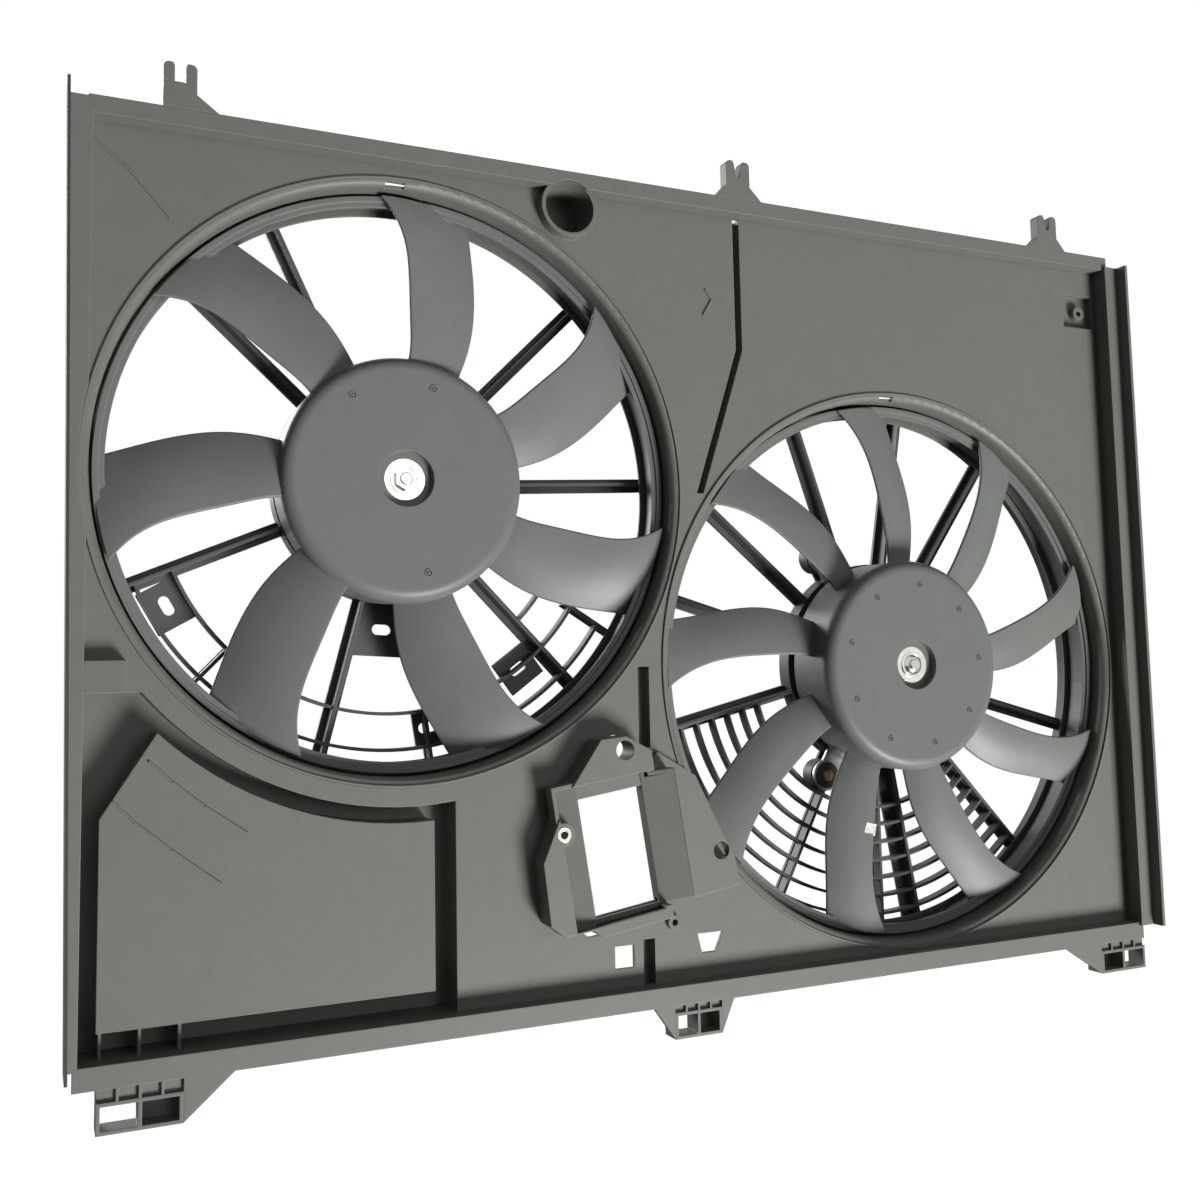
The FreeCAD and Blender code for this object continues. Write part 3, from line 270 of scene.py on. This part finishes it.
# Inside of each motor: ferrite magnets, a stacked core, copper windings, carbon brushes and
# the black card and connector that carry them
def speckled(name, dark, light, scale, roughness, metallic=0.0, stack=0.0):
    """A pressed, wound or stacked stuff: two tones in grains, or in layers along the axis."""
    material, tree, output = new_material(name)
    place = add_node(tree, "TexCoord").outputs["Object"]
    if stack:
        pattern = add_node(tree, "TexWave", {"wave_type": "BANDS", "bands_direction": "Y"},
                           {"Scale": wave_width / stack, "Distortion": 0.4}, {"Vector": place})
    else:
        pattern = add_node(tree, "TexNoise", values={"Scale": scale, "Detail": 5},
                           links={"Vector": place})
    tone = two_tones(tree, pattern, linear(dark), linear(light))
    relief = add_node(tree, "Bump", values={"Strength": 0.5, "Distance": 0.00008},
                      links={"Height": pattern.outputs["Fac"]})
    shader = add_node(tree, "BsdfPrincipled", values={"Metallic": metallic, "Roughness": roughness},
                      links={"Base Color": tone, "Normal": relief.outputs[0]})
    tree.links.new(shader.outputs[0], output.inputs["Surface"])
    return material


ferrite = speckled("pressed_ferrite", "#2a2a2c", "#3d3d3f", 900, 0.55)
laminations = speckled("stacked_laminations", "#5c5d5e", "#8f9091", 300, 0.4, 1.0, 0.001)
enamelled_wire = speckled("enamelled_copper_wire", "#7a3d1d", "#c4703c", 400, 0.32, 0.8, 0.0012)
carbon = speckled("pressed_carbon", "#171717", "#2b2b2b", 1200, 0.6)
connector_plastic = speckled("black_pbt", "#131414", "#1e2020", 500, 0.42)
for side in ("left", "right"):
    finish(ferrite, side + "_magnets")
    finish(laminations, side + "_armature_core")
    finish(enamelled_wire, side + "_windings")
    finish(carbon, side + "_brushes")
    finish(connector_plastic, side + "_brush_card", side + "_motor_socket")


# Ejector marks on the hub faces: small rings that the mould's pins leave, each with a nib. They
# are part of the moulding, three on the left hub and nine on the right.
def ejector_mark(place, radius):
    """One raised ring with a sunken middle and a nib, on a face that looks towards -Y."""
    ring_height, sink, nib_height = 0.00035, 0.00025, 0.0003
    bpy.ops.object.select_all(action="DESELECT")
    bpy.ops.mesh.primitive_circle_add(vertices=20, radius=radius, fill_type="NGON",
                                      location=place, rotation=(math.pi / 2, 0, 0))
    mark = bpy.context.object
    bpy.ops.object.mode_set(mode="EDIT")
    bpy.ops.mesh.extrude_region_move(TRANSFORM_OT_translate={"value": (0, -ring_height, 0)})
    bpy.ops.mesh.inset(thickness=radius * 0.32, depth=0)
    bpy.ops.mesh.extrude_region_move(TRANSFORM_OT_translate={"value": (0, sink, 0)})
    bpy.ops.mesh.inset(thickness=radius * 0.4, depth=0)
    bpy.ops.mesh.extrude_region_move(TRANSFORM_OT_translate={"value": (0, -nib_height, 0)})
    bpy.ops.object.mode_set(mode="OBJECT")
    bpy.ops.object.transform_apply(location=True, rotation=True, scale=True)
    return mark


def join_pieces(name, pieces):
    """The pieces as one mesh with its faces pointing outwards."""
    bpy.ops.object.select_all(action="DESELECT")
    for piece in pieces:
        piece.select_set(True)
    bpy.context.view_layer.objects.active = pieces[0]
    if len(pieces) > 1:
        bpy.ops.object.join()
    whole = bpy.context.object
    whole.name = name
    bpy.ops.object.mode_set(mode="EDIT")
    bpy.ops.mesh.select_all(action="SELECT")
    bpy.ops.mesh.normals_make_consistent(inside=False)
    bpy.ops.object.mode_set(mode="OBJECT")
    return whole


def on_hub(axis, angle, radius, depth):
    """A place on a hub's face, at an angle clockwise from up and a radius, in metres."""
    turn = math.radians(angle)
    return (axis[0] + radius * math.sin(turn), depth, axis[1] + radius * math.cos(turn))


left_face, right_face = 0.017, 0
left_circle, right_circle = 0.058, 0.0558
left_marks = join_pieces("left_hub_marks", [
    ejector_mark(on_hub(left_axis, angle, left_circle, left_face), 0.0026)
    for angle in (326, 17, 167)])
right_marks = join_pieces("right_hub_marks", [
    ejector_mark(on_hub(right_axis, 6 + 40 * number, right_circle, right_face), 0.0022)
    for number in range(9)])
for marks, rotor in ((left_marks, "left_rotor"), (right_marks, "right_rotor")):
    marks.data.materials.append(fan_nylon)
    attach(marks, rotor)


# Mould marks on the shroud's front: a tick, a crease and two ribs on the pad that stand about a
# millimetre proud, as thin bars along measured lines (in millimetres, across and up)
def raised_lines(name, face, width, height, lines):
    """Slim bars on a face that looks towards -Y, joined into one piece of the shroud."""
    edge = height * 0.45
    bars = []
    for line in lines:
        for start, stop in zip(line, line[1:]):
            reach = Vector((stop[0] - start[0], 0, stop[1] - start[1]))
            middle = ((start[0] + stop[0]) / 2000, face, (start[1] + stop[1]) / 2000)
            bpy.ops.object.select_all(action="DESELECT")
            bpy.ops.mesh.primitive_cube_add(size=1, location=middle,
                                            rotation=(0, -math.atan2(reach.z, reach.x), 0),
                                            scale=(reach.length / 1000 + width, 2 * height, width))
            bar = bpy.context.object
            bpy.ops.object.transform_apply(location=True, rotation=True, scale=True)
            bpy.ops.object.mode_set(mode="EDIT")
            bpy.ops.mesh.select_all(action="SELECT")
            bpy.ops.mesh.bevel(offset=edge, segments=2)
            bpy.ops.object.mode_set(mode="OBJECT")
            bars.append(bar)
    piece = join_pieces(name, bars)
    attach(piece, "shroud")
    return piece


tray_face, rib_width, rib_height = 0.011, 0.0014, 0.001
panel_marks = raised_lines("panel_creases", tray_face, rib_width, rib_height, [
    [(14.5, 453.8), (18.9, 447.4), (12.4, 436.4)],
    [(-368.0, 496.8), (-347.9, 480.8), (-326.6, 456.4)],
    [(-334, 157), (-322, 145.5), (-305, 131.5), (-283, 116)],
    [(-352, 137), (-341, 125.5), (-322, 109.5), (-296.5, 89.8)]])
panel_marks.data.materials.append(shroud_nylon)


# Moulded rings of the barrels: a thin ledge behind each fan's ring, which closes the slit round
# it to the air, and a bead where the rolled lip meets the tray's floor
def moulded_ring(name, axis, inside, outside, front, depth):
    """A flat ring round a fan's axis, between two radii and behind the face at front."""
    bpy.ops.object.select_all(action="DESELECT")
    bpy.ops.mesh.primitive_circle_add(vertices=200, radius=inside, rotation=(math.pi / 2, 0, 0),
                                      location=(axis[0], front, axis[1]))
    ring = bpy.context.object
    bpy.ops.object.mode_set(mode="EDIT")
    bpy.ops.mesh.select_all(action="SELECT")
    bpy.ops.mesh.extrude_region_move()
    growth = outside / inside
    bpy.ops.transform.resize(value=(growth, 1, growth),
                             center_override=(axis[0], front, axis[1]))
    bpy.ops.mesh.select_all(action="SELECT")
    bpy.ops.mesh.extrude_region_move(TRANSFORM_OT_translate={"value": (0, depth, 0)})
    bpy.ops.object.mode_set(mode="OBJECT")
    bpy.ops.object.transform_apply(location=True, rotation=True, scale=True)
    lip = join_pieces(name, [ring])
    lip.data.materials.append(shroud_nylon)
    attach(lip, "shroud")


ledge_reach, ledge_bite, ledge_front = 0.0075, 0.0004, 0.0446
bead_inside, bead_outside, bead_front = 0.0042, 0.0054, 0.0098
ring_depth = 0.0014
for side, axis, bore in (("left", left_axis, 0.1765), ("right", right_axis, 0.1885)):
    moulded_ring(side + "_barrel_back_lip", axis, bore - ledge_reach, bore + ledge_bite,
                 ledge_front, ring_depth)
    moulded_ring(side + "_barrel_bead", axis, bore + bead_inside, bore + bead_outside,
                 bead_front, ring_depth)


# Balance weight: a spring-steel clip bent over the leading edge of one of the right fan's lower
# blades. It lies along the blade and slopes with it.
clip_angle, clip_slope = 195.6, 17
clip_radius, clip_depth = 0.1165, 0.0192
clip_place = on_hub(right_axis, clip_angle, clip_radius, clip_depth)
bpy.ops.object.select_all(action="DESELECT")
bpy.ops.mesh.primitive_cube_add(size=1)
balance_clip = bpy.context.object
balance_clip.scale = (0.0095, 0.0044, 0.0088)
bpy.ops.object.transform_apply(location=False, rotation=False, scale=True)
bpy.ops.object.mode_set(mode="EDIT")
bpy.ops.mesh.select_all(action="SELECT")
bpy.ops.mesh.bevel(offset=0.0012, segments=3)
bpy.ops.object.mode_set(mode="OBJECT")
balance_clip.name = "balance_clip"
balance_clip.matrix_world = (Matrix.Translation(clip_place)
                             @ Matrix.Rotation(math.radians(clip_angle), 4, "Y")
                             @ Matrix.Rotation(math.radians(clip_slope), 4, "Z"))
bpy.ops.object.transform_apply(location=True, rotation=True, scale=True)
balance_clip.data.materials.append(cad["right_retaining_clip"].data.materials[0])
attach(balance_clip, "right_rotor")
